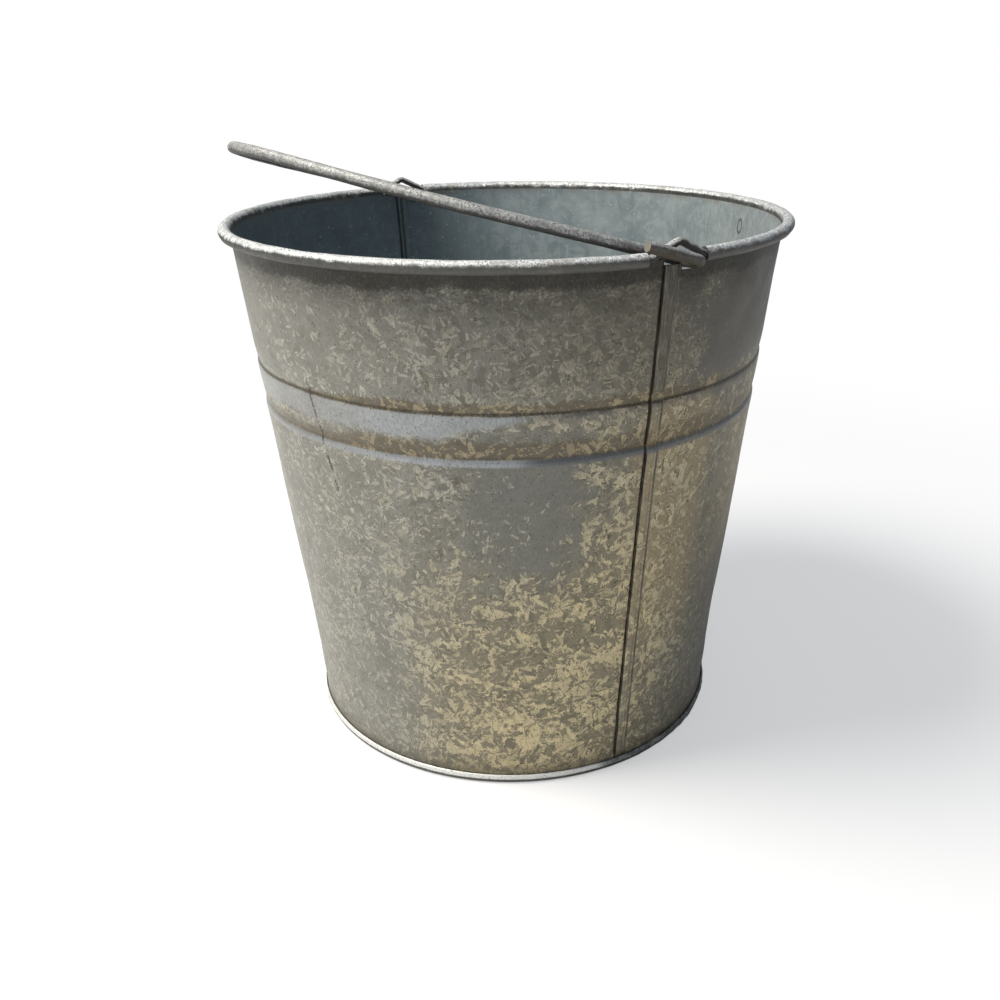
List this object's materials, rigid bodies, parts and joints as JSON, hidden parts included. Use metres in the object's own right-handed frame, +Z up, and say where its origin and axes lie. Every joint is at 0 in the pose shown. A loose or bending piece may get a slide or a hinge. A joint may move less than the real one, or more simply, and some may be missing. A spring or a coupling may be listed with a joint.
{
  "type": "bucket",
  "caption": "Tapered galvanised sheet-metal bucket with a rolled rim, wire ears and a swinging wire bail.",
  "frame": {"origin": "centre of the foot, on the ground", "axes": "+Z up; the two ears and seams lie along X; the hinge line is on the +Y side and the bail leans to -Y"},
  "size_m": [0.2952, 0.286, 0.3085],
  "materials": {
    "zinc_wall": "weathered spangled zinc",
    "zinc_wall_back": "weathered spangled zinc",
    "zinc_wire": "worn zinc over wire",
    "zinc_base": "weathered zinc",
    "bail_wire": "dull, speckled zinc"
  },
  "bodies": {
    "bucket": {"shell_front": "zinc_wall", "shell_back": "zinc_wall_back", "rim_wire": "zinc_wire", "base": "zinc_base"},
    "bail": {"bail": "bail_wire"}
  },
  "joints": [
    {"name": "bail_swing", "type": "hinge", "parent": "bucket", "child": "bail", "pos_m": [0, 0.01108, 0.26408], "axis": [-1, 0, 0], "range_deg": [0, 110]}
  ]
}
